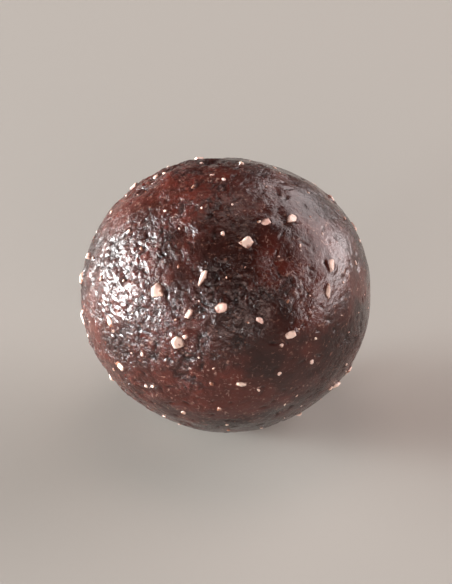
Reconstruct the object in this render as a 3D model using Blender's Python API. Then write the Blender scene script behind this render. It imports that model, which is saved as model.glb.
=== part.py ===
"""A date energy ball: one hand-rolled ball of dark date and cocoa paste with chopped nuts in it.

Metres, +Z up. The ball rests on a small flat spot, and the origin lies on it, straight below the
middle of the ball. +X is its widest way, and its front looks along -Y and a little up.

The paste starts as a finely cut cube that is blown up to a sphere. Its points then move in or out
by a sum of soft dents: broad flats left by the palms, lumps where a nut lies just under the skin,
and crags where the paste did not close. The nuts that show are angular crumbs, sunk into the
paste and fused to it, so the whole ball is one solid.
"""

import math

import bmesh
import bpy
import numpy as np
from mathutils import Matrix, Vector

MM = 0.001

# The ball's driving sizes
BALL_WIDTH = 32.5 * MM
BALL_DEPTH = 31.2 * MM
BALL_HEIGHT = 30.0 * MM
FOOT_SINK = 0.55 * MM  # how much of the round underside the flat spot takes away
CUBE_CUTS = 27  # cuts across each side of the cube that the sphere is blown up from

# The front: the ball's best side faces -Y and this far above level
FRONT_TILT = math.radians(33)

# Palm flats that give the ball its outline, as (how far right and how far up of the middle they
# lie seen from the front, as a share of the half width, half their width in radians, depth)
OUTLINE_FLATS = (
    (0.05, 1.00, 0.46, 0.24 * MM),
    (-0.64, -0.77, 0.42, 0.24 * MM),
    (1.00, 0.00, 0.38, 0.16 * MM),
    (-1.00, 0.05, 0.36, 0.15 * MM),
    (0.40, 0.91, 0.12, 0.22 * MM),
    (0.70, -0.62, 0.34, 0.16 * MM),
)

# Palm flats all over, by chance
PALM_FLATS = 14
PALM_FLAT_WIDTH = (0.28, 0.46)
PALM_FLAT_DEPTH = (0.05 * MM, 0.20 * MM)

# Lumps: nuts that lie under the skin and lift it
LUMPS = 170
LUMP_WIDTH = (0.055, 0.105)
LUMP_RISE = (0.10 * MM, 0.26 * MM)

# Crags: dents where the crumbly paste did not close
CRAGS = 64
CRAG_WIDTH = (0.045, 0.075)
CRAG_DEPTH = (0.20 * MM, 0.45 * MM)

# Chopped nuts on the front, as (right, up, length, turn of the long side in degrees from level)
FRONT_NUTS = (
    (-0.15, 0.13, 1.9 * MM, 68),
    (0.44, 0.54, 1.5 * MM, 15),
    (0.27, 0.51, 1.3 * MM, 40),
    (0.70, 0.21, 1.4 * MM, 110),
    (0.68, 0.04, 1.8 * MM, 65),
    (-0.45, 0.04, 1.6 * MM, 100),
    (-0.03, -0.08, 1.7 * MM, 5),
    (0.14, 0.37, 1.7 * MM, 50),
    (-0.32, -0.32, 1.8 * MM, 25),
    (-0.71, -0.50, 1.5 * MM, 130),
    (-0.77, -0.19, 1.3 * MM, 80),
    (0.22, -0.17, 1.1 * MM, 150),
    (-0.24, -0.12, 1.2 * MM, 60),
    (0.42, -0.28, 1.5 * MM, 10),
    (0.10, -0.62, 1.3 * MM, 170),
)

# Chopped nuts on the rest of the ball, by chance
OTHER_NUTS = 60
NUT_LENGTH = (1.0 * MM, 1.9 * MM)
FRONT_REACH = 0.30  # no chance nut lies where the skin faces the front more than this
FOOT_REACH = -0.86  # nor where it faces down more than this

# What every chopped nut has in common
NUT_BREADTH = (0.50, 0.85)  # of its length
NUT_THICKNESS = (0.55, 0.75)  # of its length
NUT_STANDS_OUT = (0.20 * MM, 0.34 * MM)  # how far it stands above the paste
NUT_CORNERS = 12
NUT_CORNER_SHIFT = 0.14  # of its half length, how far each corner is knocked about

# One seed for each thing that chance decides, so that each can change alone
PALM_SEED, LUMP_SEED, CRAG_SEED, NUT_SEED, CORNER_SEED = 11, 23, 37, 41, 53

GOLDEN_ANGLE = math.pi * (3 - math.sqrt(5))
SPIRAL_SCATTER = 1.1  # how far a thing strays from its place on the spiral, in its own spacings
PASTE_COLOUR = (0.052, 0.017, 0.011, 1.0)
PASTE_ROUGHNESS = 0.30
SHARP_ANGLE = math.radians(40)  # the nuts' edges stay sharp, and the paste is shaded smooth


def clear_scene():
    for old in list(bpy.data.objects):
        bpy.data.objects.remove(old)


def new_collection(name):
    collection = bpy.data.collections.new(name)
    bpy.context.scene.collection.children.link(collection)
    return collection


def unit(vectors):
    return vectors / np.linalg.norm(vectors, axis=-1, keepdims=True)


def front_axes():
    """Right, up and towards the viewer, for someone who looks straight at the ball's front."""
    right = np.array((1.0, 0.0, 0.0))
    upward = np.array((0.0, math.sin(FRONT_TILT), math.cos(FRONT_TILT)))
    return right, upward, np.cross(right, upward)


def front_direction(across, above):
    """The direction of a place on the front, from how far right and up of the middle it shows."""
    right, upward, towards = front_axes()
    depth = math.sqrt(max(0.0, 1 - across**2 - above**2))
    return unit(across * right + above * upward + depth * towards)


def spread_directions(count, draw):
    """Unit directions spread evenly by a golden spiral, each then knocked a little out of place."""
    step = np.arange(count)
    upward = 1 - (2 * step + 1) / count
    ring = np.sqrt(1 - upward**2)
    turn = step * GOLDEN_ANGLE
    spiral = np.column_stack((ring * np.cos(turn), ring * np.sin(turn), upward))
    return unit(spiral + draw.normal(0, SPIRAL_SCATTER / math.sqrt(count), (count, 3)))


def chance_dents(count, widths, depths, seed):
    """Dents by chance, as (directions, half widths in radians, depths in metres)."""
    draw = np.random.default_rng(seed)
    directions = spread_directions(count, draw)
    return directions, draw.uniform(*widths, count), draw.uniform(*depths, count)


def outline_dents():
    directions = np.array([front_direction(across, above) for across, above, *_ in OUTLINE_FLATS])
    widths, depths = np.array([flat[2:] for flat in OUTLINE_FLATS]).T
    return directions, widths, depths


def bells(directions, dents):
    """The sum of bell shapes, each down to a third of its height at its width and gone at twice that."""
    centres, widths, heights = dents
    return np.exp(2 * (directions @ centres.T - 1) / widths**2) @ heights


def relief(directions):
    """How far the paste stands out of the plain ball in each direction."""
    palms = chance_dents(PALM_FLATS, PALM_FLAT_WIDTH, PALM_FLAT_DEPTH, PALM_SEED)
    lumps = chance_dents(LUMPS, LUMP_WIDTH, LUMP_RISE, LUMP_SEED)
    crags = chance_dents(CRAGS, CRAG_WIDTH, CRAG_DEPTH, CRAG_SEED)
    hollows = bells(directions, outline_dents()) + bells(directions, palms) + bells(directions, crags)
    return bells(directions, lumps) - hollows


def paste_points(directions):
    """The paste's skin in each direction from the ball's middle: an ellipsoid plus its relief."""
    half = np.array((BALL_WIDTH, BALL_DEPTH, BALL_HEIGHT + FOOT_SINK)) / 2
    middle = np.array((0, 0, BALL_HEIGHT - half[2]))
    plain = directions * half
    lengths = np.linalg.norm(plain, axis=1, keepdims=True)
    return middle + plain * (1 + relief(directions)[:, None] / lengths)


def roll_paste(collection):
    """The paste without nuts: a cut cube, blown up to a sphere, dented and set down."""
    mesh = bpy.data.meshes.new("date_ball")
    cube = bmesh.new()
    bmesh.ops.create_cube(cube, size=2)
    bmesh.ops.subdivide_edges(cube, edges=cube.edges, cuts=CUBE_CUTS, use_grid_fill=True)
    # Equal angles instead of equal steps keep the faces near one size all over the sphere.
    directions = unit(np.tan(np.array([vertex.co for vertex in cube.verts]) * math.pi / 4))
    for vertex, point in zip(cube.verts, paste_points(directions)):
        vertex.co = point
    press_foot(cube)
    bmesh.ops.recalc_face_normals(cube, faces=cube.faces)
    cube.to_mesh(mesh)
    cube.free()
    ball = bpy.data.objects.new("date_ball", mesh)
    collection.objects.link(ball)
    return ball


def press_foot(paste):
    """Cuts the ball flat at the height it rests on, and closes the cut with one flat face."""
    everything = paste.verts[:] + paste.edges[:] + paste.faces[:]
    bmesh.ops.bisect_plane(
        paste, geom=everything, plane_co=(0, 0, 0), plane_no=(0, 0, 1), clear_inner=True
    )
    rim = [edge for edge in paste.edges if edge.is_boundary]
    bmesh.ops.contextual_create(paste, geom=rim)


def chopped_nuts():
    """Every nut that shows, as arrays: directions, ways their long sides lie, lengths."""
    right, upward, _ = front_axes()
    across, above, front_lengths, turns = np.array(FRONT_NUTS).T
    turns = np.radians(turns)[:, None]
    front = np.array([front_direction(*place) for place in zip(across, above)])
    draw = np.random.default_rng(NUT_SEED)
    chance = spread_directions(OTHER_NUTS, draw)
    chance_ways = draw.normal(size=(OTHER_NUTS, 3))
    chance_lengths = draw.uniform(*NUT_LENGTH, OTHER_NUTS)
    kept = (chance @ front_axes()[2] < FRONT_REACH) & (chance[:, 2] > FOOT_REACH)
    directions = np.vstack((front, chance[kept]))
    ways = np.vstack((np.cos(turns) * right + np.sin(turns) * upward, chance_ways[kept]))
    return directions, ways, np.concatenate((front_lengths, chance_lengths[kept]))


def add_nut(collection, place, axes, size, knocks):
    """One chopped nut: a twenty-sided crumb whose corners are knocked about."""
    mesh = bpy.data.meshes.new("nut")
    crumb = bmesh.new()
    bmesh.ops.create_icosphere(crumb, subdivisions=1, radius=0.5)
    for vertex, knock in zip(crumb.verts, knocks):
        vertex.co = (vertex.co + Vector(knock) / 2) * Vector(size)
    crumb.to_mesh(mesh)
    crumb.free()
    nut = bpy.data.objects.new("nut", mesh)
    nut.matrix_world = Matrix.Translation(place) @ Matrix(axes).transposed().to_4x4()
    collection.objects.link(nut)


def add_nuts(collection):
    """All the nuts that show, each lying along the skin and sunk into it."""
    directions, ways, lengths = chopped_nuts()
    skin = paste_points(directions)
    along = unit(ways - directions * (ways * directions).sum(1, keepdims=True))
    sideways = np.cross(directions, along)
    draw = np.random.default_rng(CORNER_SEED)
    breadths = lengths * draw.uniform(*NUT_BREADTH, len(lengths))
    thicknesses = lengths * draw.uniform(*NUT_THICKNESS, len(lengths))
    stands_out = draw.uniform(*NUT_STANDS_OUT, len(lengths))
    places = skin + directions * (stands_out - thicknesses / 2)[:, None]
    knocks = draw.uniform(-NUT_CORNER_SHIFT, NUT_CORNER_SHIFT, (len(lengths), NUT_CORNERS, 3))
    axes = np.stack((along, sideways, directions), axis=1)
    sizes = np.column_stack((lengths, breadths, thicknesses))
    for place, axis_rows, size, corner_knocks in zip(places, axes, sizes, knocks):
        add_nut(collection, place, axis_rows, size, corner_knocks)


def fuse(ball, nuts):
    """Joins the nuts to the paste with one union, and removes the loose ones."""
    union = ball.modifiers.new("nuts", "BOOLEAN")
    union.operation = "UNION"
    union.operand_type = "COLLECTION"
    union.collection = nuts
    union.solver = "EXACT"
    graph = bpy.context.evaluated_depsgraph_get()
    fused = bpy.data.meshes.new_from_object(ball.evaluated_get(graph))
    ball.modifiers.clear()
    ball.data = fused
    for nut in list(nuts.objects):
        bpy.data.objects.remove(nut)
    bpy.data.collections.remove(nuts)


def paste_material():
    material = bpy.data.materials.new("date_paste")
    material.use_nodes = True
    shader = material.node_tree.nodes["Principled BSDF"]
    shader.inputs["Base Color"].default_value = PASTE_COLOUR
    shader.inputs["Roughness"].default_value = PASTE_ROUGHNESS
    shader.inputs["Metallic"].default_value = 0.0
    return material


def main():
    clear_scene()
    parts = new_collection("date_energy_ball")
    nuts = new_collection("nuts")
    ball = roll_paste(parts)
    add_nuts(nuts)
    fuse(ball, nuts)
    ball.data.materials.clear()
    ball.data.materials.append(paste_material())
    ball.data.shade_smooth()
    ball.data.set_sharp_from_angle(angle=SHARP_ANGLE)


main()
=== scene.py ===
# %% [markdown]
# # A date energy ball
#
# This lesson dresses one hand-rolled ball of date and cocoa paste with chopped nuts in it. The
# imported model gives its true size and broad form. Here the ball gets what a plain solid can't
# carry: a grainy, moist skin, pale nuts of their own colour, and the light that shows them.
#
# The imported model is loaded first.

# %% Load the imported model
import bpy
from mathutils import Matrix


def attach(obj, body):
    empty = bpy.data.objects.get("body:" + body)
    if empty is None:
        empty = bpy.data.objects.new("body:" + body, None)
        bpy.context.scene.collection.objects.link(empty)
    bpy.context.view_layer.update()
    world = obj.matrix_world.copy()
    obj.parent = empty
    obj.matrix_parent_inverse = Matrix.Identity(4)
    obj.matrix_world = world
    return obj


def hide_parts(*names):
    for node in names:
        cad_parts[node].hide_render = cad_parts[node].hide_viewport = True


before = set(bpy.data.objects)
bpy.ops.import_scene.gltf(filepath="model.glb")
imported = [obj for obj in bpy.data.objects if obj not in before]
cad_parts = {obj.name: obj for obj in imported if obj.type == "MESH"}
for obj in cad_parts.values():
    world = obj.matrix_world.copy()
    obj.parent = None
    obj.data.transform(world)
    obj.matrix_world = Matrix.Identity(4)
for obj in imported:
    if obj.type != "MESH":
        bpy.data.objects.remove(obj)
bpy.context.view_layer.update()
print("packed nodes:", list(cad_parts))

# %% [markdown]
# ## Tools and units
#
# Blender's own unit is the metre. A ball of this size is easier to think of in millimetres, so MM
# turns them into metres. Shapes are worked out with numpy, which handles every point of a skin at
# once, where a loop over single points would take minutes.

# %% Tools and units
import itertools
import math

import bpy
import numpy as np
from mathutils import Vector

MM = 0.001
print("one millimetre is", MM, "metres")

# %% [markdown]
# ## The front
#
# The ball is seen from a third of the way up, so its front doesn't face the horizon. Places on it
# are given the way they look: how far right and how far up of the middle, as a share of the
# radius. Two angles would do as well, but shares are easier to read off. Three axes turn such a
# place into a direction in space.

# %% The front's three axes
FRONT_TILT = math.radians(33)
RIGHT = np.array((1.0, 0.0, 0.0))
UPWARD = np.array((0.0, math.sin(FRONT_TILT), math.cos(FRONT_TILT)))
TOWARDS = np.cross(RIGHT, UPWARD)


def unit(vectors):
    """Each vector drawn out or in to length 1: the vector divided by its own length."""
    return vectors / np.linalg.norm(vectors, axis=-1, keepdims=True)


def front_directions(across, above):
    """Directions of places on the front. The third side of the triangle gives how far they come
    forward: the root of what is left of 1 after the squares of across and above."""
    forward = np.sqrt(np.maximum(0.0, 1 - across**2 - above**2))
    return unit(across[:, None] * RIGHT + above[:, None] * UPWARD + forward[:, None] * TOWARDS)


print("the front looks along", TOWARDS.round(3))

# %% [markdown]
# ## A grid without poles
#
# A ball can be cut like a globe, but its faces crowd together at the poles, and fine relief shows
# that at once. A cube blown up to a ball has no poles. Its sides are cut in equal angles and not
# in equal steps, which keeps the faces near one size all over.

# %% Cut a ball like a cube
PASTE_STEPS = 128


def cube_ball(steps):
    """Directions and four-sided faces of a ball with steps by steps faces on each of six sides.

    On one side a point is (1, tan a, tan b), where a and b run from -45 to 45 degrees. Passing
    the three numbers round gives three sides, and their opposites give the other three.
    """
    slope = np.tan(np.linspace(-math.pi / 4, math.pi / 4, steps + 1))
    side = np.stack(np.broadcast_arrays(1.0, slope[:, None], slope[None, :]), axis=-1).reshape(-1, 3)
    half = np.concatenate([np.roll(side, turn, axis=1) for turn in range(3)])
    row, column = np.meshgrid(np.arange(steps), np.arange(steps), indexing="ij")
    corner = (row * (steps + 1) + column).reshape(-1, 1)
    quads = corner + np.array((0, steps + 1, steps + 2, 1))
    quads = np.concatenate([quads + turn * len(side) for turn in range(3)])
    # The opposite sides are mirrored, so their faces are listed the other way round.
    quads = np.concatenate((quads, quads[:, ::-1] + len(half)))
    directions = unit(np.concatenate((half, -half)))
    # Corners that two or three sides share are made one. Adding 0 turns -0 into 0.
    rounded = directions.round(9) + 0.0
    _, first, shared = np.unique(rounded, axis=0, return_index=True, return_inverse=True)
    return directions[first], shared.reshape(-1)[quads]


paste_directions, paste_quads = cube_ball(PASTE_STEPS)
print("the paste's grid has", len(paste_directions), "corners")

# %% [markdown]
# ## Numbers by chance for each place
#
# Blender's own textures could draw the skin as bump, but bump has no outline and is lost in an
# exported mesh. So the same kind of pattern is worked out here as real relief. It needs numbers
# by chance that depend only on place: space is cut into cells like a lattice, and each cell has
# its whole coordinates stirred into a number.

# %% Draw numbers for cells
CELL_PRIMES = np.array((73856093, 19349663, 83492791), dtype=np.uint64)
SEED_PRIME = 7919
STIR = np.uint64(0xFF51AFD7ED558CCD)  # odd, with its ones and zeros well mixed
FOLD = np.uint64(33)  # bits, just over half of the 64
KEPT_BITS = 24


def cell_draws(cells, count, seed):
    """Numbers from 0 to 1 for each lattice cell. Its coordinates times three primes are added up.
    Then the high half is folded onto the low half and multiplied, over and over. The top bits of
    each round but the first are one number."""
    key = cells.astype(np.int64).astype(np.uint64) @ CELL_PRIMES + np.uint64(seed * SEED_PRIME + 1)
    draws = []
    for _ in range(count + 1):
        key = (key ^ (key >> FOLD)) * STIR
        draws.append((key >> np.uint64(64 - KEPT_BITS)) / 2.0**KEPT_BITS)
    return np.stack(draws[1:], axis=-1)


print("two numbers of one cell:", cell_draws(np.array((1.0, 2.0, 3.0)), 2, seed=1).round(3))

# %% [markdown]
# ## Smooth hills
#
# A number for each cell alone would make steps. Between the corners of the lattice the numbers
# are blended smoothly, which gives soft hills of one size. Hills of half the size or less, laid
# over them, keep them from looking like a quilt.

# %% Make noise
def soft_noise(points, size, seed):
    """Smooth hills from -1 to 1: each lattice corner has a number, and in between they are
    blended by 3 t squared minus 2 t cubed along each axis."""
    spots = points / size
    home = np.floor(spots)
    share = (spots - home) ** 2 * (3 - 2 * (spots - home))
    total = np.zeros(len(points))
    for step in itertools.product((0, 1), repeat=3):
        weight = np.prod(np.where(step, share, 1 - share), axis=1)
        total += weight * cell_draws(home + step, 1, seed)[:, 0]
    return 2 * total - 1


def layered_noise(points, layers):
    """The sum of layers of smooth hills, each given as its share, its size and its seed."""
    return sum(share * soft_noise(points, size, seed) for share, size, seed in layers)


def ease(values, low, high):
    """0 below low and 1 above high, with a smooth step between."""
    share = np.clip((values - low) / (high - low), 0, 1)
    return share**2 * (3 - 2 * share)


hills = soft_noise(paste_directions, size=0.2, seed=1)
print("smooth hills run from", hills.min().round(2), "to", hills.max().round(2))

# %% [markdown]
# ## Rough and smeared
#
# Rolling between the palms smears the paste smooth in some places and tears it open in others.
# This could be painted on by hand, but a slow noise that leans to one side gives the same broad
# split in one line. Everything on the skin goes by it.

# %% Say where the skin is rough
BALL_WIDTH = 32.5 * MM
BALL_DEPTH = 31.2 * MM
BALL_HEIGHT = 30.0 * MM
BALL_MIDDLE = np.array((0, 0, BALL_HEIGHT / 2))
SMEAR_SIZE = 6.5 * MM
# (share, size, seed) of each layer
SMEAR_NOISE = ((0.65, SMEAR_SIZE, 69), (0.35, SMEAR_SIZE / 3, 369))
SMEAR_LEAN = 0.50  # how much smoother the ball is on its right than on its left
SMEAR_EDGE = (-0.45, 0.45)  # of the noise: smeared below the first, torn above the second


def roughness(directions):
    """0 where the skin is smeared smooth and 1 where it is torn open: layered noise less a lean
    that grows from left to right, eased to a step."""
    noise = layered_noise(BALL_MIDDLE + directions * BALL_WIDTH / 2, SMEAR_NOISE)
    return ease(noise - SMEAR_LEAN * (directions @ RIGHT), *SMEAR_EDGE)


rough = roughness(paste_directions)
print("rough share of the skin:", rough.mean().round(2))

# %% [markdown]
# ## Dents all over a ball
#
# Lumps, crags, pits and most of the nuts lie all over the ball by chance. Places that are drawn
# freely clump and leave gaps. A golden spiral spreads them evenly, and a knock to each hides the
# spiral. A soft dent is a bell shape over the angle from its middle.

# %% Spread things over a ball
GOLDEN_ANGLE = math.pi * (3 - math.sqrt(5))
SPIRAL_SCATTER = 1.1  # how far a thing strays from its place on the spiral, in its own spacings


def spread_directions(count, draw):
    """Directions spread evenly, then knocked about. Step by step they sink by equal heights from
    top to bottom and turn by the golden angle, which never lines two turns up."""
    step = np.arange(count)
    height = 1 - (2 * step + 1) / count
    ring = np.sqrt(1 - height**2)
    turn = step * GOLDEN_ANGLE
    spiral = np.column_stack((ring * np.cos(turn), ring * np.sin(turn), height))
    return unit(spiral + draw.normal(0, SPIRAL_SCATTER / math.sqrt(count), (count, 3)))


def chance_dents(count, widths, depths, seed):
    """Dents by chance, as (directions, half widths in radians, depths in metres)."""
    draw = np.random.default_rng(seed)
    directions = spread_directions(count, draw)
    return directions, draw.uniform(*widths, count), draw.uniform(*depths, count)


def bells(directions, dents):
    """The sum of bell shapes: e to the power of minus the squared angle over the squared width,
    each times its own height."""
    centres, widths, heights = dents
    return np.exp(2 * (directions @ centres.T - 1) / widths**2) @ heights


hundred = spread_directions(100, np.random.default_rng(1))
print("the middle of a hundred spread places:", hundred.mean(axis=0).round(2))

# %% [markdown]
# ## The broad form
#
# Hands leave broad flats. A nut under the skin lifts a lump, and where the paste didn't close
# there is a crag. Sculpting by hand would do, but a sum of bell shapes is quick, can be tuned by
# number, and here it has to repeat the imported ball. So the sizes, the counts and the seeds are
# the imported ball's own. Only where the skin is smeared are the lumps and crags pressed flatter
# than there, by a tenth or two of a millimetre.

# %% Flats, lumps and crags
FOOT_SINK = 0.55 * MM  # how much of the round underside the flat foot takes away
PRESSED = 0.65  # the share of a lump or crag that smearing takes away

# (right, up, half width in radians, depth) of the flats that give the ball its outline
OUTLINE_FLATS = np.array((
    (0.05, 1.00, 0.46, 0.24 * MM),
    (-0.64, -0.77, 0.42, 0.24 * MM),
    (1.00, 0.00, 0.38, 0.16 * MM),
    (-1.00, 0.05, 0.36, 0.15 * MM),
    (0.40, 0.91, 0.12, 0.22 * MM),
    (0.70, -0.62, 0.34, 0.16 * MM),
))
OUTLINE_DENTS = (front_directions(*OUTLINE_FLATS[:, :2].T), OUTLINE_FLATS[:, 2], OUTLINE_FLATS[:, 3])
PALM_FLATS = chance_dents(count=14, widths=(0.28, 0.46), depths=(0.05 * MM, 0.20 * MM), seed=11)
LUMPS = chance_dents(count=170, widths=(0.055, 0.105), depths=(0.10 * MM, 0.26 * MM), seed=23)
CRAGS = chance_dents(count=64, widths=(0.045, 0.075), depths=(0.20 * MM, 0.45 * MM), seed=37)


def broad_points(directions):
    """The skin before its grain: an egg shape, moved out by the lumps and in by the rest."""
    half = np.array((BALL_WIDTH, BALL_DEPTH, BALL_HEIGHT + FOOT_SINK)) / 2
    middle = np.array((0, 0, BALL_HEIGHT - half[2]))
    plain = directions * half
    left = 1 - PRESSED * (1 - roughness(directions))
    rise = left * (bells(directions, LUMPS) - bells(directions, CRAGS))
    rise = rise - bells(directions, OUTLINE_DENTS) - bells(directions, PALM_FLATS)
    return middle + plain * (1 + rise[:, None] / np.linalg.norm(plain, axis=1, keepdims=True))


broad = broad_points(paste_directions)
print("broad form, in mm:", (np.ptp(broad, axis=0) / MM).round(2))

# %% [markdown]
# ## Where the nuts lie
#
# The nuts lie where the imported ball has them. Chance alone would be easier, but it wouldn't put
# those on the front where the real ball shows its pale flecks. So these are listed.

# %% List the nuts on the front
# (right, up, length, turn of the long side in degrees from level) of each nut on the front
FRONT_NUTS = np.array((
    (-0.15, 0.13, 1.9 * MM, 68),
    (0.44, 0.54, 1.5 * MM, 15),
    (0.27, 0.51, 1.3 * MM, 40),
    (0.70, 0.21, 1.4 * MM, 110),
    (0.68, 0.04, 1.8 * MM, 65),
    (-0.45, 0.04, 1.6 * MM, 100),
    (-0.03, -0.08, 1.7 * MM, 5),
    (0.14, 0.37, 1.7 * MM, 50),
    (-0.32, -0.32, 1.8 * MM, 25),
    (-0.71, -0.50, 1.5 * MM, 130),
    (-0.77, -0.19, 1.3 * MM, 80),
    (0.22, -0.17, 1.1 * MM, 150),
    (-0.24, -0.12, 1.2 * MM, 60),
    (0.42, -0.28, 1.5 * MM, 10),
    (0.10, -0.62, 1.3 * MM, 170),
))
front_nut_directions = front_directions(*FRONT_NUTS[:, :2].T)
print(len(front_nut_directions), "nuts on the front")

# %% [markdown]
# ## The other nuts
#
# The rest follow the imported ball's seeded chance, so that both balls have the same nuts at the
# same places. All nuts come before the skin, because the paste is pressed up around each of them.

# %% Place all the nuts
OTHER_NUTS = 60
NUT_LENGTH = (1.0 * MM, 1.9 * MM)
NUT_BREADTH = (0.50, 0.85)  # of its length
NUT_THICKNESS = (0.55, 0.75)  # of its length
NUT_STANDS_OUT = (0.20 * MM, 0.34 * MM)  # over the paste
FRONT_REACH = 0.30  # no chance nut lies where the skin faces the front more than this
FOOT_REACH = -0.86  # nor where it faces down more than this
NUT_PLACE_SEED, NUT_SIZE_SEED = 41, 53

turns = np.radians(FRONT_NUTS[:, 3])[:, None]
nut_draw = np.random.default_rng(NUT_PLACE_SEED)
chance = spread_directions(OTHER_NUTS, nut_draw)
chance_ways = nut_draw.normal(size=(OTHER_NUTS, 3))
chance_lengths = nut_draw.uniform(*NUT_LENGTH, OTHER_NUTS)
kept = (chance @ TOWARDS < FRONT_REACH) & (chance[:, 2] > FOOT_REACH)
nut_directions = np.vstack((front_nut_directions, chance[kept]))
nut_ways = np.vstack((np.cos(turns) * RIGHT + np.sin(turns) * UPWARD, chance_ways[kept]))
nut_lengths = np.concatenate((FRONT_NUTS[:, 2], chance_lengths[kept]))
size_draw = np.random.default_rng(NUT_SIZE_SEED)
nut_breadths = nut_lengths * size_draw.uniform(*NUT_BREADTH, len(nut_lengths))
nut_thicknesses = nut_lengths * size_draw.uniform(*NUT_THICKNESS, len(nut_lengths))
nut_stands_out = size_draw.uniform(*NUT_STANDS_OUT, len(nut_lengths))
nut_sizes = np.column_stack((nut_lengths, nut_breadths, nut_thicknesses))


def lying_axes(directions, ways):
    """The axes of things that lie on the skin: the long side along it, the side across, and the
    way out of the ball. The long side is its way less the part of it that points out."""
    along = unit(ways - directions * (ways * directions).sum(1, keepdims=True))
    return np.stack((along, np.cross(directions, along), directions), axis=1)


nut_axes = lying_axes(nut_directions, nut_ways)
print(len(nut_lengths), "nuts, in mm:", (np.sort(nut_lengths)[[0, -1]] / MM).round(2))

# %% [markdown]
# ## A pattern of grains
#
# Ground dates and nuts make a skin of small pressed grains with creases between them. Modelled
# one by one they would be thousands of pieces. Here each cell of the same lattice holds one
# grain's middle, every point belongs to the nearest of them, and the creases come by themselves.

# %% Find the nearest grain
def grains(points, size, seed):
    """A pattern of pressed grains. Each lattice cell holds one grain's middle at a place by
    chance. Gives how much farther the second nearest middle is than the nearest, a number of the
    nearest grain's own, and how far its face, tipped by chance, rises: tip times offset."""
    spots = points / size
    home = np.floor(spots)
    nearest = np.full(len(points), np.inf)
    second = np.full(len(points), np.inf)
    own = np.zeros(len(points))
    tipped = np.zeros(len(points))
    for step in itertools.product((-1, 0, 1), repeat=3):
        cell = home + step
        # Three numbers place the grain's middle, and three more tip its face.
        draws = cell_draws(cell, 6, seed)
        offset = spots - cell - draws[:, :3]
        gap = np.linalg.norm(offset, axis=1)
        closer = gap < nearest
        second = np.where(closer, nearest, np.minimum(second, gap))
        own = np.where(closer, draws[:, 3], own)
        tipped = np.where(closer, ((2 * draws[:, 3:] - 1) * offset).sum(1), tipped)
        nearest = np.minimum(nearest, gap)
    return second - nearest, own, tipped


_, whose, _ = grains(paste_directions[::50], size=0.5, seed=1)
print("grains half a radius across:", len(np.unique(whose)), "on the ball")

# %% [markdown]
# ## Two sizes of grain
#
# Two sizes of grain are laid over each other. Each grain's face is tipped a little by chance,
# and a crease runs where two grains meet. Straight creases would look like cracked mud, so a
# slow noise first pushes the grains out of shape. Rolling presses most creases shut, so only
# short stretches stay open. Tipped faces and creases break the highlight into glitter.

# %% Press the grains
WARP = 0.35 * MM  # how far the slow noise pushes
WARP_SIZE = 1.1 * MM
WARP_SEEDS = (21, 22, 24)
COARSE_GRAIN = 1.20 * MM
FINE_GRAIN = 0.70 * MM
COARSE_TIP = 0.08  # the steepest slope of a grain's face
FINE_TIP = 0.10
COARSE_CREASE_WIDTH = 0.15  # of a grain
FINE_CREASE_WIDTH = 0.22
OPEN_SIZE = 1.3 * MM  # of the places where creases stay open or are pressed shut
COARSE_OPEN_EDGE = (-0.25, 0.35)  # of the noise: shut below the first, wide open above the second
FINE_OPEN_EDGE = (-0.35, 0.25)
COARSE_SEEDS = (5, 31)  # of the grains and of their open creases
FINE_SEEDS = (9, 32)

push = np.stack([soft_noise(broad, WARP_SIZE, seed) for seed in WARP_SEEDS], axis=1)
warped = broad + WARP * push


def grain_layer(size, tip, crease_width, open_edge, seeds):
    """One size of grain. Gives how far its faces rise, which is tip times size times the pattern's
    rise, how deep in a crease each point lies, and each grain's own number. A crease is e to the
    power of minus the squared distance from the seam over the squared width, times how open it
    is there."""
    grain_seed, open_seed = seeds
    seam, own, tipped = grains(warped, size, grain_seed)
    opened = ease(soft_noise(broad, OPEN_SIZE, open_seed), *open_edge)
    return tip * size * tipped, opened * np.exp(-((seam / crease_width) ** 2)), own


coarse_faces, coarse_crease, coarse_own = grain_layer(
    COARSE_GRAIN, COARSE_TIP, COARSE_CREASE_WIDTH, COARSE_OPEN_EDGE, COARSE_SEEDS
)
fine_faces, fine_crease, fine_own = grain_layer(
    FINE_GRAIN, FINE_TIP, FINE_CREASE_WIDTH, FINE_OPEN_EDGE, FINE_SEEDS
)
print("share in creases: coarse", coarse_crease.mean().round(3), "and fine", fine_crease.mean().round(3))

# %% [markdown]
# ## Pits
#
# A short narrow pit stays where a bit of date skin bridged a gap. It is a bell again, but one
# that is stretched along the skin, so it has no hard rim and sinks softly into the grain.

# %% Prick the pits
PITS = 560
PIT_LENGTH = (0.35 * MM, 1.10 * MM)
PIT_BREADTH = (0.20 * MM, 0.30 * MM)
PIT_DEPTH = (0.08 * MM, 0.22 * MM)
PIT_SEED = 71


def reaches(directions, axes, half_lengths, half_breadths):
    """How far each direction lies from each centre along and across it, squared and added up, in
    half lengths and half breadths. The ball's far side counts as out of reach."""
    radius = BALL_WIDTH / 2
    along = directions @ axes[:, 0].T * radius / half_lengths
    across = directions @ axes[:, 1].T * radius / half_breadths
    return np.where(directions @ axes[:, 2].T > 0, along**2 + across**2, np.inf)


def pits(directions):
    """Short narrow dents: bells stretched along the skin, e to the power of minus the reach."""
    draw = np.random.default_rng(PIT_SEED)
    axes = lying_axes(spread_directions(PITS, draw), draw.normal(size=(PITS, 3)))
    length = draw.uniform(*PIT_LENGTH, PITS) / 2
    breadth = draw.uniform(*PIT_BREADTH, PITS) / 2
    return np.exp(-reaches(directions, axes, length, breadth)) @ draw.uniform(*PIT_DEPTH, PITS)


pit_depth = pits(paste_directions)
print("the deepest place in the pits:", (pit_depth.max() / MM).round(2), "mm")

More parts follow.
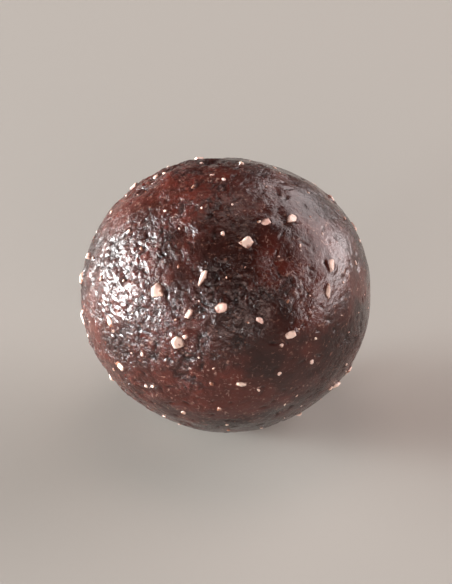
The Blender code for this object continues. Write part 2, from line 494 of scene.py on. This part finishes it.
# %% [markdown]
# ## Collars
#
# Around each nut the paste stands up as a low uneven collar, so that the nut looks pressed in and
# not stuck on. A ring of even height would look like a washer, so a noise makes it uneven.

# %% Raise the collars
COLLAR_PLACE = 1.05  # how far out the collar's crest runs, in half sizes of its nut
COLLAR_WIDTH = 0.34
COLLAR_RISE = (0.03 * MM, 0.10 * MM)
COLLAR_UNEVEN = 0.7  # the share of its rise by which a collar is higher or lower in places
COLLAR_LUMP_SIZE = 0.8 * MM
COLLAR_SEED, COLLAR_LUMP_SEED = 73, 35


def collars(directions):
    """Paste pressed up round the nuts: a bell round a ring, where the root of the reach is near
    the collar's place."""
    rise = np.random.default_rng(COLLAR_SEED).uniform(*COLLAR_RISE, len(nut_directions))
    ring = np.sqrt(reaches(directions, nut_axes, nut_sizes[:, 0] / 2, nut_sizes[:, 1] / 2))
    return np.exp(-(((ring - COLLAR_PLACE) / COLLAR_WIDTH) ** 2)) @ rise


collar_lumps = soft_noise(broad, COLLAR_LUMP_SIZE, COLLAR_LUMP_SEED)
collar = collars(paste_directions) * (1 + COLLAR_UNEVEN * collar_lumps)
print("the highest collar:", (collar.max() / MM).round(2), "mm")

# %% [markdown]
# ## From numbers to a mesh
#
# A mesh can be built face by face, but handing over whole arrays is far faster. A mesh can also
# carry numbers of our own for each corner, such as how deep in a crease it lies. The material
# reads them by name, and so the colour follows the relief: shade is painted into the creases.

# %% Make a piece and mark it
def new_piece(name, points, quads):
    """A smooth mesh object at the origin, from an array of points and one of four-sided faces."""
    mesh = bpy.data.meshes.new(name)
    mesh.vertices.add(len(points))
    mesh.vertices.foreach_set("co", points.astype(np.float32).ravel())
    mesh.loops.add(quads.size)
    mesh.loops.foreach_set("vertex_index", quads.astype(np.int32).ravel())
    mesh.polygons.add(len(quads))
    mesh.polygons.foreach_set("loop_start", np.arange(0, quads.size, 4, dtype=np.int32))
    mesh.update(calc_edges=True)
    mesh.shade_smooth()
    piece = bpy.data.objects.new(name, mesh)
    bpy.context.scene.collection.objects.link(piece)
    print(name, "has", 2 * len(quads), "triangles")
    return piece


def mark(piece, name, values):
    """Writes one number for each corner of the mesh, which a material can read by that name."""
    layer = piece.data.attributes.new(name, "FLOAT", "POINT")
    layer.data.foreach_set("value", np.asarray(values, dtype=np.float32).ravel())


# %% [markdown]
# ## The skin
#
# Now the relief is added up, and each point moves that far along its own direction. Displace
# modifiers could push the skin too, but the paint couldn't follow them. Faces, creases and a slow
# swell show in full where the skin is torn and hardly at all where it is smeared. Pits and
# collars are everywhere. The marks are what the paint goes by: the creases and pits, where shade
# is painted in, each grain's own tone, the patches where the paste thins to date skin, and where
# the skin is torn.

# %% Put the skin together
COARSE_CREASE = 0.15 * MM
FINE_CREASE = 0.10 * MM
SWELL = 0.04 * MM
SWELL_SIZE = 2.2 * MM
SWELL_SEED = 33
ROUGH_LEAST = 0.12  # of the full grain, where the skin is smeared smoothest
FINE_CREASE_SHADE = 0.7  # how dark a fine crease is beside a coarse one
COARSE_TONE = 0.6  # the share of the coarse grain in a place's tone
DATE_SKIN_NOISE = ((0.6, 5.0 * MM, 62), (0.4, 1.6 * MM, 362))  # (share, size, seed) of each layer
DATE_SKIN_EDGE = (-0.40, 0.60)  # of the noise: plain paste below the first, all skin above the second

grain_share = ROUGH_LEAST + (1 - ROUGH_LEAST) * rough
faces = coarse_faces + fine_faces
creases = COARSE_CREASE * coarse_crease + FINE_CREASE * fine_crease
swell = SWELL * soft_noise(broad, SWELL_SIZE, SWELL_SEED)
grain_rise = grain_share * (faces + swell - creases) - pit_depth + collar
skin = broad + paste_directions * grain_rise[:, None]
# The foot is pressed flat on the table.
skin[:, 2] = np.maximum(skin[:, 2], 0.0)
print("grain, in mm, from", (grain_rise.min() / MM).round(3), "to", (grain_rise.max() / MM).round(3))

paste = new_piece("paste_ball", skin, paste_quads)
# The crease mark is painted shade: the colour is darkest in open creases and deep pits.
darkest_crease_shade = np.maximum(coarse_crease, FINE_CREASE_SHADE * fine_crease)
mark(paste, "crease", np.clip(darkest_crease_shade * grain_share + pit_depth / PIT_DEPTH[1], 0, 1))
mark(paste, "grain_tone", COARSE_TONE * coarse_own + (1 - COARSE_TONE) * fine_own)
mark(paste, "date_skin", ease(layered_noise(warped, DATE_SKIN_NOISE), *DATE_SKIN_EDGE))
mark(paste, "torn", rough)

# %% [markdown]
# ## A chopped nut's shape
#
# A chopped nut is an angular crumb with worn edges. A cube with bevels looks like a die, so each
# crumb here is cut by fourteen flats that face ways by chance. Its skin lies where the nearest
# flat is met, and a power mean in place of the plain nearest rounds the edges.

# %% Cut a crumb
NUT_FLATS = 14
AXIS_STRAY = 0.22  # how far the six flats along the axes lean off them
FLAT_DISTANCE = (0.78, 1.0)  # of the crumb's half size
NUT_EDGE_POWER = 12.0  # higher is sharper
NUT_BITE_SIZE = 0.42 * MM
BITE_NOISE = ((1.0, NUT_BITE_SIZE, 61), (0.5, NUT_BITE_SIZE / 2, 62))  # (share, size, seed)


def cut_crumbs(directions, count, draw):
    """How far out each crumb's skin lies in each direction. Along a direction d, a flat facing n
    at distance h is met at h over n.d, and the power mean of all flats picks the nearest."""
    facing = unit(draw.normal(size=(count, NUT_FLATS, 3)))
    # Six flats along the axes keep every crumb closed, and the rest knock its corners off.
    six_ways = np.concatenate((np.eye(3), -np.eye(3)))
    facing[:, :6] = unit(six_ways + draw.normal(0, AXIS_STRAY, (count, 6, 3)))
    distance = draw.uniform(*FLAT_DISTANCE, (count, NUT_FLATS))
    meet = np.maximum(np.einsum("cfk,dk->cdf", facing, directions) / distance[:, None, :], 0)
    return (meet**NUT_EDGE_POWER).sum(-1) ** (-1 / NUT_EDGE_POWER)


one_crumb = cut_crumbs(paste_directions, 1, np.random.default_rng(1))
print("one crumb's skin, in half sizes:", one_crumb.min().round(2), "to", one_crumb.max().round(2))

# %% [markdown]
# ## Nuts in the paste
#
# Each nut is sunk into the paste until two or three tenths of a millimetre stand out. Cutting a
# seat for it would change nothing that shows, so the two meshes just overlap. A fine noise bites
# into its faces, as breaking does. Wet paste stains a nut's edge, so each corner of its mesh
# carries a number that says how bare it is: the higher over the paste and the nearer its middle,
# the barer.

# %% Press the nuts in
NUT_STEPS = 9
NUT_BITE = 0.055 * MM
NUT_SHAPE_SEED = 59
EDGE_STAIN = 0.5  # how much of the bareness a crumb loses at its edge
EDGE_STARTS = 0.55  # of the way from its middle to its edge


def lay_crumbs(name, axes, sizes, stands_out, steps, bite, seed):
    """One mesh of many crumbs. A corner is the crumb's middle plus its three axes, each times the
    corner's own coordinate along it, moved out or in along its own way by the bites."""
    ball, quads = cube_ball(steps)
    draw = np.random.default_rng(seed)
    count = len(sizes)
    directions = axes[:, 2]
    local = ball[None] * cut_crumbs(ball, count, draw)[:, :, None] * sizes[:, None, :] / 2
    places = broad_points(directions) + directions * (stands_out - sizes[:, 2] / 2)[:, None]
    points = (places[:, None] + np.einsum("cpk,ckx->cpx", local, axes)).reshape(-1, 3)
    ways = np.einsum("pk,ckx->cpx", ball, axes).reshape(-1, 3)
    points = points + ways * (bite * layered_noise(points, BITE_NOISE))[:, None]
    faces = quads[None] + (np.arange(count) * len(ball))[:, None, None]
    piece = new_piece(name, points, faces.reshape(-1, 4))
    # The paste covers what lies deep and smears over what is near a crumb's edge.
    height = (local[:, :, 2] - sizes[:, None, 2] / 2 + stands_out[:, None]) / stands_out[:, None]
    from_middle = np.linalg.norm(local[:, :, :2] / sizes[:, None, :2] * 2, axis=2)
    mark(piece, "bare", np.clip(height, 0, 1) * (1 - EDGE_STAIN * ease(from_middle, EDGE_STARTS, 1.0)))
    mark(piece, "crumb_tone", np.repeat(draw.uniform(0, 1, count), len(ball)))
    return piece


nuts = lay_crumbs(
    "chopped_nuts", nut_axes, nut_sizes, nut_stands_out, NUT_STEPS, NUT_BITE, NUT_SHAPE_SEED
)

# %% [markdown]
# ## Nut dust
#
# Chopping also leaves dust and splinters, much smaller than the nuts and mostly smeared over
# with paste. Painted dots would do for most, but not for those at the ball's outline. So they
# are crumbs too, with only a few dozen faces each.

# %% Scatter the nut dust
DUST = 190
DUST_LENGTH = (0.25 * MM, 0.75 * MM)
DUST_BREADTH = (0.55, 0.95)  # of its length, and its thickness too
DUST_STANDS_OUT = (0.15, 0.45)  # of its thickness
DUST_STEPS = 2
DUST_SEED, DUST_SHAPE_SEED = 83, 89

dust_draw = np.random.default_rng(DUST_SEED)
dust_directions = spread_directions(DUST, dust_draw)
dust_directions = dust_directions[dust_directions[:, 2] > FOOT_REACH]
dust_count = len(dust_directions)
dust_lengths = dust_draw.uniform(*DUST_LENGTH, dust_count)
dust_shares = dust_draw.uniform(*DUST_BREADTH, (dust_count, 2))
dust_sizes = np.column_stack((dust_lengths, dust_lengths[:, None] * dust_shares))
dust_stands_out = dust_sizes[:, 2] * dust_draw.uniform(*DUST_STANDS_OUT, dust_count)
dust_axes = lying_axes(dust_directions, dust_draw.normal(size=(dust_count, 3)))
dust = lay_crumbs(
    "nut_dust", dust_axes, dust_sizes, dust_stands_out, DUST_STEPS, NUT_BITE / 2, DUST_SHAPE_SEED
)

# %% [markdown]
# ## Helpers for materials
#
# A material is a net of nodes. It could be built by hand in the shader editor, but a script can
# name every value. One function starts a material, and another adds a node and sets or links its
# inputs by name.

# %% Add and link nodes
def new_material(name):
    """An empty material with one Principled shader. Gives its tree and its shader too."""
    material = bpy.data.materials.new(name)
    material.use_nodes = True
    return material, material.node_tree, material.node_tree.nodes["Principled BSDF"]


def add(tree, kind, inputs=(), **settings):
    """A new node. Each input is set to a value, or linked where another node's output is given."""
    node = tree.nodes.new(kind)
    for name, value in settings.items():
        setattr(node, name, value)
    for name, value in dict(inputs).items():
        if isinstance(value, bpy.types.NodeSocket):
            tree.links.new(value, node.inputs[name])
        else:
            node.inputs[name].default_value = value
    return node


# %% [markdown]
# ## Colours, numbers and bumps
#
# Each node that the finishes use again and again gets a small function of its own: one draws a
# noise, one mixes two colours, one calculates, two stretch a value to another range, one reads a
# number that the mesh carries, and one adds a bump.

# %% Mix, calculate and bump
def cloud(tree, place, scale, detail=2.0, distortion=0.0):
    """Noise from 0 to 1 with soft hills, each about 1 / scale of a metre across."""
    inputs = {"Vector": place, "Scale": scale, "Detail": detail, "Distortion": distortion}
    return add(tree, "ShaderNodeTexNoise", inputs).outputs["Fac"]


def blend_colours(tree, share, first, second):
    """The first colour where share is 0 and the second where it is 1. The node has inputs of the
    same names for numbers and for colours, so here they go by their places."""
    return add(tree, "ShaderNodeMix", {0: share, 6: first, 7: second}, data_type="RGBA").outputs[2]


def calculate(tree, operation, *numbers):
    """One number worked out from one or two others, such as their product."""
    return add(tree, "ShaderNodeMath", enumerate(numbers), operation=operation).outputs["Value"]


def between(tree, value, low, high):
    """Takes a value from 0 to 1 to one from low to high."""
    node = add(tree, "ShaderNodeMapRange", {"Value": value, "To Min": low, "To Max": high})
    return node.outputs["Result"]


def ramp(tree, value, start, end):
    """0 where the value is at start and 1 where it is at end, held there beyond them."""
    node = add(tree, "ShaderNodeMapRange", {"Value": value, "From Min": start, "From Max": end})
    return node.outputs["Result"]


def read_mark(tree, name):
    """The number that mark() wrote on the mesh."""
    return add(tree, "ShaderNodeAttribute", attribute_name=name).outputs["Fac"]


def bumped(tree, height, strength, depth, below=None, invert=False):
    """A bump of the given depth in metres, laid over the bump below it if there is one."""
    inputs = {"Height": height, "Strength": strength, "Distance": depth}
    if below is not None:
        inputs["Normal"] = below
    return add(tree, "ShaderNodeBump", inputs, invert=invert).outputs["Normal"]


# %% [markdown]
# ## Fibres and crinkles
#
# Date skin has pale fibres in it, and torn paste has crinkles finer than a face of the mesh.
# Both are thin curled lines. A wave texture would draw them side by side like combed hair. The
# lines where a slow noise passes through its middle value wander, as contour lines do on a map.

# %% Draw threads
THREAD_DISTORTION = 0.8
THREAD_CORE = 0.3  # the share of a thread's half width where it is at its full strength


def threads(tree, place, scale, half_width):
    """Thin curled lines: 1 where a slow noise is at its middle value, and 0 where it is farther
    from it than the half width."""
    slow = cloud(tree, place, scale, distortion=THREAD_DISTORTION)
    away = calculate(tree, "ABSOLUTE", calculate(tree, "SUBTRACT", slow, 0.5))
    return ramp(tree, away, half_width, THREAD_CORE * half_width)


# %% [markdown]
# ## The paste's colour
#
# Date paste is dark, and a little red where it thins to date skin. One even brown would look like
# plastic, so the colour follows the grains and the date skin that are marked on the mesh, and
# the creases and pits get painted shade. Noise adds what is smaller than a face: pale flecks, and
# pale fibres in the date skin.

# %% Colour the paste
DARK_PASTE = (0.023, 0.0058, 0.0040, 1)
RED_PASTE = (0.072, 0.0138, 0.0088, 1)
PALE_FLECK = (0.15, 0.072, 0.052, 1)
PALE_FIBRE = (0.27, 0.155, 0.125, 1)
# painted shade for the creases and pits
PAINTED_CREASE_SHADE = (0.009, 0.0035, 0.003, 1)
GRAIN_TONE = (0.72, 1.30)  # the darkest and the palest grain, as shares of the paste's colour
FLECK_EDGE = (0.60, 0.74)  # of the speck noise: paste below the first, a fleck above the second
FIBRE_SCALE = 620.0  # about 1.6 mm from one fibre to the next
FIBRE_HALF_WIDTH = 0.020
FIBRE_BREAKS = (0.50, 0.62)  # of the speck noise: no fibre below the first
FIBRE_STARTS = (0.2, 0.7)  # of the date skin: no fibre below the first


def paste_colour(tree, place, speck):
    """The paste's colour, laid on in turn: the body, its grains, flecks, fibres, and painted shade in the
    creases and pits.
    """
    date_skin = read_mark(tree, "date_skin")
    body = blend_colours(tree, date_skin, DARK_PASTE, RED_PASTE)
    tone = between(tree, read_mark(tree, "grain_tone"), *GRAIN_TONE)
    shaded = add(tree, "ShaderNodeVectorMath", {0: body, "Scale": tone}, operation="SCALE")
    fleck = ramp(tree, speck, *FLECK_EDGE)
    flecked = blend_colours(tree, fleck, shaded.outputs["Vector"], PALE_FLECK)
    # A finer noise breaks the threads into short pieces.
    fibre = threads(tree, place, FIBRE_SCALE, FIBRE_HALF_WIDTH)
    broken = calculate(tree, "MULTIPLY", fibre, ramp(tree, speck, *FIBRE_BREAKS))
    in_skin = calculate(tree, "MULTIPLY", broken, ramp(tree, date_skin, *FIBRE_STARTS))
    threaded = blend_colours(tree, in_skin, flecked, PALE_FIBRE)
    # Painted shade: creases and pits are darkened by how deep they are.
    return blend_colours(tree, read_mark(tree, "crease"), threaded, PAINTED_CREASE_SHADE)


# %% [markdown]
# ## The paste's finest relief
#
# The mesh carries every grain that can be seen as a shape. What is smaller only bends the light,
# and for that a bump is enough. Three are laid over each other: a very fine noise, the crinkles,
# which are strongest where the skin is torn, and the specks.

# %% Roughen the paste
CRINKLE_SCALES = (900.0, 1700.0)  # about 1.1 and 0.6 mm
CRINKLE_HALF_WIDTH = 0.05
CRINKLE_STRENGTH = (0.10, 0.70)  # where the skin is smeared, and where it is torn
CRINKLE_DEPTH = 0.08 * MM
MICRO_BUMP = (0.30, 0.05 * MM)  # strength and depth
SPECK_BUMP = (0.38, 0.12 * MM)


def paste_bumps(tree, place, speck, micro):
    """The three bumps, the finest lowest. The crinkles are cut in, so their bump is turned over."""
    fine = bumped(tree, micro, *MICRO_BUMP)
    crinkles = (threads(tree, place, scale, CRINKLE_HALF_WIDTH) for scale in CRINKLE_SCALES)
    strength = between(tree, read_mark(tree, "torn"), *CRINKLE_STRENGTH)
    crinkle = calculate(tree, "MAXIMUM", *crinkles)
    crinkled = bumped(tree, crinkle, strength, CRINKLE_DEPTH, fine, invert=True)
    return bumped(tree, speck, *SPECK_BUMP, crinkled)


# %% [markdown]
# ## The paste's moist finish
#
# Moist paste has a fairly smooth film over a grainy body. A single layer would look either
# varnished or dry, so the shader has a coat for the film and a rougher base below, which lets a
# little red light through.

# %% Paint the paste
SPECK_SCALE = 2600.0  # about 0.4 mm
MICRO_SCALE = 6500.0  # about 0.15 mm
PASTE_ROUGHNESS = (0.30, 0.58)


def paint_paste():
    """The paste's material: its colour, its uneven roughness, its bumps and its film."""
    material, tree, shader = new_material("moist_date_paste")
    place = add(tree, "ShaderNodeTexCoord").outputs["Object"]
    speck = cloud(tree, place, SPECK_SCALE, detail=3.0)
    micro = cloud(tree, place, MICRO_SCALE, detail=4.0)
    bumps = paste_bumps(tree, place, speck, micro)
    tree.links.new(paste_colour(tree, place, speck), shader.inputs["Base Color"])
    tree.links.new(between(tree, micro, *PASTE_ROUGHNESS), shader.inputs["Roughness"])
    tree.links.new(bumps, shader.inputs["Normal"])
    tree.links.new(bumps, shader.inputs["Coat Normal"])
    shader.inputs["Coat Weight"].default_value = 0.80
    shader.inputs["Coat Roughness"].default_value = 0.10
    shader.inputs["Specular IOR Level"].default_value = 0.10
    shader.inputs["Subsurface Weight"].default_value = 0.08
    shader.inputs["Subsurface Radius"].default_value = (1.0, 0.30, 0.16)
    shader.inputs["Subsurface Scale"].default_value = 1.0 * MM
    return material


paste.data.materials.append(paint_paste())
print("painted", paste.name)

# %% [markdown]
# ## The nuts' finish
#
# A chopped nut is pale cream and lets a little light through. Some faces keep a bit of the nut's
# own brown skin, and near the paste it is stained brown. One flat colour would look like chalk,
# so each crumb has a tone of its own, and a noise makes its stain end unevenly.

# %% Paint the nuts
NUT_CREAM = (0.82, 0.66, 0.56, 1)
NUT_PINK = (0.78, 0.54, 0.46, 1)
NUT_SKIN = (0.26, 0.105, 0.055, 1)
NUT_STAIN = (0.17, 0.066, 0.044, 1)
NUT_SCALE = 3200.0  # about 0.3 mm
NUT_SKIN_SCALE = 800.0  # about 1.3 mm
NUT_SKIN_EDGE = (0.57, 0.62)  # of the patch noise: flesh below the first, skin above the second
STAIN_SHIFT = (-0.55, 0.55)  # what a noise takes from or adds to the bareness
STAIN_EDGE = (0.0, 0.45)  # of the shifted bareness: stained at the first, clean at the second
NUT_ROUGHNESS = (0.30, 0.60)
NUT_BUMP = (0.4, 0.06 * MM)  # strength and depth


def paint_nuts():
    """The nuts' material: cream to pink flesh with bits of skin, and a stain that ends unevenly."""
    material, tree, shader = new_material("chopped_nut")
    place = add(tree, "ShaderNodeTexCoord").outputs["Object"]
    mottle = cloud(tree, place, NUT_SCALE, detail=3.0)
    patch = cloud(tree, place, NUT_SKIN_SCALE)
    flesh = blend_colours(tree, read_mark(tree, "crumb_tone"), NUT_CREAM, NUT_PINK)
    body = blend_colours(tree, ramp(tree, patch, *NUT_SKIN_EDGE), flesh, NUT_SKIN)
    clean = calculate(tree, "ADD", read_mark(tree, "bare"), between(tree, mottle, *STAIN_SHIFT))
    colour = blend_colours(tree, ramp(tree, clean, *STAIN_EDGE), NUT_STAIN, body)
    tree.links.new(colour, shader.inputs["Base Color"])
    tree.links.new(between(tree, mottle, *NUT_ROUGHNESS), shader.inputs["Roughness"])
    tree.links.new(bumped(tree, mottle, *NUT_BUMP), shader.inputs["Normal"])
    shader.inputs["Coat Weight"].default_value = 0.25
    shader.inputs["Coat Roughness"].default_value = 0.2
    shader.inputs["Subsurface Weight"].default_value = 0.2
    shader.inputs["Subsurface Radius"].default_value = (1.0, 0.7, 0.5)
    shader.inputs["Subsurface Scale"].default_value = 0.4 * MM
    return material


nut_finish = paint_nuts()
for crumbs in (nuts, dust):
    crumbs.data.materials.append(nut_finish)
    print("painted", crumbs.name)

# %% [markdown]
# ## Take the plain ball's place
#
# The dressed ball stands for the plain one, which stays hidden for collision. Nothing here
# moves, so all three pieces ride on the one body. Each takes its finish from a named slot.

# %% Hand the pieces to the frame
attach(paste, "root")
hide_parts("date_ball")
for crumbs in (nuts, dust):
    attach(crumbs, "root")

# %% [markdown]
# ## Floor
#
# The floor is plain and pale, with no shine of its own, so that it shows the ball's soft shadow
# and nothing else. It lies a hair below the foot, because two faces at one height show as
# speckles.

# %% Lay the floor
FLOOR_HALF = 0.65
FLOOR_DROP = 0.02 * MM
FLOOR_COLOUR = (0.46, 0.455, 0.42, 1)

square = np.array(((-1, -1, 0), (1, -1, 0), (1, 1, 0), (-1, 1, 0)))
floor = new_piece("floor", square * FLOOR_HALF - np.array((0, 0, FLOOR_DROP)), np.array(((0, 1, 2, 3),)))
floor_finish, _, floor_shader = new_material("pale_floor")
floor_shader.inputs["Base Color"].default_value = FLOOR_COLOUR
floor_shader.inputs["Roughness"].default_value = 1.0
floor_shader.inputs["Specular IOR Level"].default_value = 0.0
floor.data.materials.append(floor_finish)

# %% [markdown]
# ## Light
#
# Dark paste shows its shape by what it mirrors, so the lights are placed for their reflections.
# The brightest is a window low on the left. Together with the lit wall beside it, it leaves a
# broad broken highlight, and a small lamp adds glints in front of that. The right side mirrors
# two wide weak lights, one low and one higher up. Two weak warm ones, from the front and from
# the top, keep the middle from going black. It stays dark beside the highlight all the same, and
# that is what makes the paste look wet.

# %% Hang the lights
WINDOW_DISTANCE = 1.0
COOL = (0.94, 0.98, 1.0)
NEUTRAL = (1.0, 0.99, 0.98)
PINKISH = (1.0, 0.89, 0.89)
WARM = (1.0, 0.72, 0.65)


def add_window(name, turn, height, wide, tall, watts, colour, spread=180):
    """A flat soft light that faces the ball. Its place is given in degrees: turn counts from
    straight right and goes round behind the ball to the left, and height counts from level. A
    spread below 180 degrees keeps its light from the floor right under it."""
    data = bpy.data.lights.new(name, "AREA")
    data.shape = "RECTANGLE"
    data.size = wide
    data.size_y = tall
    data.energy = watts
    data.color = colour
    data.spread = math.radians(spread)
    around = math.radians(turn)
    above = math.radians(height)
    way = Vector((math.cos(above) * math.cos(around), math.cos(above) * math.sin(around), math.sin(above)))
    lamp = bpy.data.objects.new(name, data)
    lamp.location = Vector(BALL_MIDDLE) + way * WINDOW_DISTANCE
    lamp.rotation_euler = (-way).to_track_quat("-Z", "Y").to_euler()
    bpy.context.scene.collection.objects.link(lamp)


# name, turn, height, wide, tall, watts, colour
add_window("left_window", 180, 5, 0.32, 0.22, 2.3, COOL, spread=60)
add_window("left_wall", 172, 5, 1.10, 0.22, 10.5, NEUTRAL, spread=100)
add_window("left_lamp", 229, 7, 0.14, 0.11, 3.4, COOL)
add_window("right_low_wall", 8, 6, 1.30, 0.24, 8.6, PINKISH)
add_window("right_glow", 34, 28, 1.30, 0.60, 8.9, PINKISH)
add_window("front_glow", 270, 22, 1.00, 0.36, 4.4, WARM)
add_window("top_glow", 90, 72, 0.50, 0.50, 1.6, WARM)
print(len(bpy.data.lights), "soft lights")

# %% [markdown]
# ## Room
#
# Seen from low down, the floor ends and the room shows behind it. It is pale there, but a pale
# room would also light the ball from all sides and wash its dark middle out. So its strength is
# 1 for rays that come straight from the camera and 0 for all others.

# %% Make the room pale
ROOM_COLOUR = (0.52, 0.50, 0.47, 1)

world = bpy.data.worlds.new("studio")
world.use_nodes = True
room = world.node_tree.nodes["Background"]
room.inputs["Color"].default_value = ROOM_COLOUR
seen = add(world.node_tree, "ShaderNodeLightPath").outputs["Is Camera Ray"]
world.node_tree.links.new(seen, room.inputs["Strength"])
bpy.context.scene.world = world
bpy.context.scene.view_settings.view_transform = "Standard"
print("the room is pale to the camera alone")

# %% [markdown]
# ## Camera
#
# Seen from too near, a ball hides its own sides. From a third of a metre away, which is eleven
# times its width, it keeps the outline that the eye knows, and a long lens lets it fill the
# frame. The camera looks at the ball's middle along the front's own axis.

# %% Place the camera
LENS = 200  # millimetres, as photographers say it
CAMERA_DISTANCE = 0.36

camera_data = bpy.data.cameras.new("camera")
camera_data.lens = LENS
camera = bpy.data.objects.new("camera", camera_data)
camera.location = BALL_MIDDLE + TOWARDS * CAMERA_DISTANCE
camera.rotation_euler = Vector(-TOWARDS).to_track_quat("-Z", "Y").to_euler()
bpy.context.scene.collection.objects.link(camera)
bpy.context.scene.camera = camera
print("camera at", [round(number, 3) for number in camera.location])
